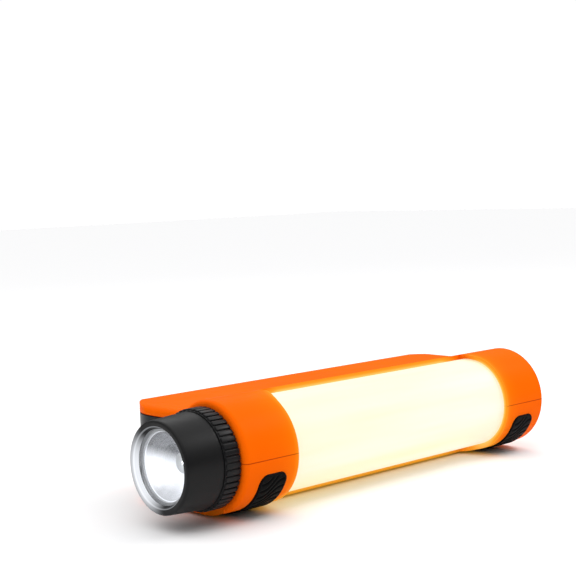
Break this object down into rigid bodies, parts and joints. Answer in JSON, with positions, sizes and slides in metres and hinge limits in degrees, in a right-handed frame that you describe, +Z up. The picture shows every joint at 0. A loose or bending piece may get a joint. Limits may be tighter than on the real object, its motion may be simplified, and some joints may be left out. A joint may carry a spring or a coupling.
{
  "type": "jump starter pack",
  "caption": "Orange and black battery jump starter: flat slab joined to a lit lamp drum with a focusing torch on its end, corner cover over the jump socket, display and rubber port cover.",
  "frame": {"origin": "centre of the footprint's bounding box, on the plane the rubber pads rest on", "axes": "+X along the lamp drum away from the torch, +Y from the drum towards the narrow face with the display, +Z up from the rubber pads"},
  "size_m": [0.2098, 0.0814, 0.0472],
  "materials": {
    "orange_shell_lower": "semi-matte moulded, fine grain",
    "orange_shell_upper": "semi-matte moulded, fine grain",
    "diffuser": "translucent opal, lit warm white",
    "white_reflector": "smooth",
    "lamp_board_white": "white solder mask",
    "lamp_diodes": "yellow phosphor",
    "barrel_black": "black anodised",
    "spring_steel": "bare",
    "seal_rubber": "smooth",
    "ring_black": "ribbed grip",
    "bezel_black": "smooth satin",
    "sleeve_metal": "turned",
    "lens_clear": "clear",
    "gasket_rubber": "smooth",
    "torch_mirror": "metallised cup",
    "heatsink_metal": "turned",
    "torch_board_white": "white solder mask",
    "torch_diode": "phosphor under clear dome",
    "cover_black": "satin",
    "pin_steel": "ground",
    "frame_black": "satin",
    "socket_blue": "moulded nylon",
    "contact_gold": "gold plated",
    "display_glass": "dark smoked window",
    "digits_lit": "lit bars",
    "module_black": "matt",
    "cover_rubber_fixed": "fine matt",
    "button_rubber": "fine matt",
    "switch_plastic": "matt",
    "cover_rubber_flap": "fine matt",
    "port_a_steel": "plated",
    "port_c_steel": "plated",
    "board_green": "solder mask",
    "cell_foil": "pouch foil",
    "strap_nickel": "nickel",
    "foam_grey": "closed-cell foam",
    "lead_red": "silicone insulation",
    "torch_cable": "flat cable",
    "lamp_cable": "flat cable",
    "pad_rubber_front": "grooved",
    "pad_rubber_rear": "grooved",
    "screw_steel": "zinc plated"
  },
  "bodies": {
    "case": {"lower_shell": "orange_shell_lower", "upper_shell": "orange_shell_upper", "lamp_diffuser": "diffuser", "lamp_reflector": "white_reflector", "lamp_board": "lamp_board_white", "lamp_leds": "lamp_diodes", "torch_barrel": "barrel_black", "ring_retainer": "spring_steel", "barrel_seal": "seal_rubber", "torch_heatsink": "heatsink_metal", "torch_board": "torch_board_white", "torch_led": "torch_diode", "socket_cover_pin": "pin_steel", "corner_frame": "frame_black", "jump_socket": "socket_blue", "socket_contacts": "contact_gold", "display_window": "display_glass", "display_digits": "digits_lit", "display_module": "module_black", "button_surround": "cover_rubber_fixed", "button_switch": "switch_plastic", "usb_a_port": "port_a_steel", "usb_c_port": "port_c_steel", "main_board": "board_green", "battery_cells": "cell_foil", "cell_straps": "strap_nickel", "foam_pads": "foam_grey", "power_leads": "lead_red", "torch_wire": "torch_cable", "lamp_wire": "lamp_cable", "front_pad": "pad_rubber_front", "rear_pad": "pad_rubber_rear", "shell_screws": "screw_steel"},
    "focus_ring": {"focus_ring": "ring_black"},
    "torch_head": {"torch_bezel": "bezel_black", "head_sleeve": "sleeve_metal", "torch_lens": "lens_clear", "lens_gasket": "gasket_rubber", "torch_reflector": "torch_mirror"},
    "power_button": {"power_button": "button_rubber"},
    "port_cover": {"port_cover": "cover_rubber_flap"},
    "socket_cover": {"socket_cover": "cover_black"}
  },
  "joints": [
    {"name": "focus_ring_turn", "type": "hinge", "parent": "case", "child": "focus_ring", "pos_m": [-0.08415, -0.0182, 0.0247], "axis": [1, 0, 0], "range_deg": [0, 90]},
    {"name": "torch_head_slide", "type": "slide", "parent": "case", "child": "torch_head", "axis": [-1, 0, 0], "range_m": [0, 0.004]},
    {"name": "power_button_press", "type": "slide", "parent": "case", "child": "power_button", "axis": [0, -1, 0], "range_m": [0, 0.0008], "stiffness_N_per_m": 2500},
    {"name": "port_cover_open", "type": "hinge", "parent": "case", "child": "port_cover", "pos_m": [0.01905, 0.0401, 0.0182], "axis": [0, 0, 1], "range_deg": [0, 110]},
    {"name": "socket_cover_open", "type": "hinge", "parent": "case", "child": "socket_cover", "pos_m": [-0.06185, 0.0372, 0.0197], "axis": [0, 0, -1], "range_deg": [0, 90]}
  ],
  "couplings": [
    {"joint": "torch_head_slide", "follows": "focus_ring_turn", "m_per_rad": 0.002546}
  ]
}
